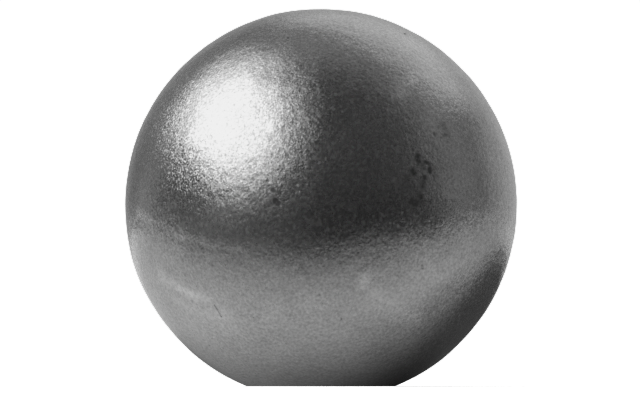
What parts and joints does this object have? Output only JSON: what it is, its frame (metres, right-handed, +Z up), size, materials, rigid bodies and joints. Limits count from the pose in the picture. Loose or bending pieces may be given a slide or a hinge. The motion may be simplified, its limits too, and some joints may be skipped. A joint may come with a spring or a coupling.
{
  "type": "hollow iron ball",
  "caption": "Hollow ball of bare iron, open at a bored mouth in its flat underside, that stands by itself or caps the end of a tube.",
  "frame": {"origin": "middle of the mouth, in the plane of the flat foot that the ball stands on", "axes": "+Z up through the middle of the mouth, the centre of the ball and its crown; X and Y are alike, and the pictured side faces -Y"},
  "size_m": [0.08, 0.08, 0.077],
  "materials": {
    "bare_iron": "bare grey iron with a fine orange-peel grain, rubbed to a soft shine, with small pits and a few dark stains"
  },
  "bodies": {
    "root": {"hollow_ball": "bare_iron"}
  },
  "joints": []
}
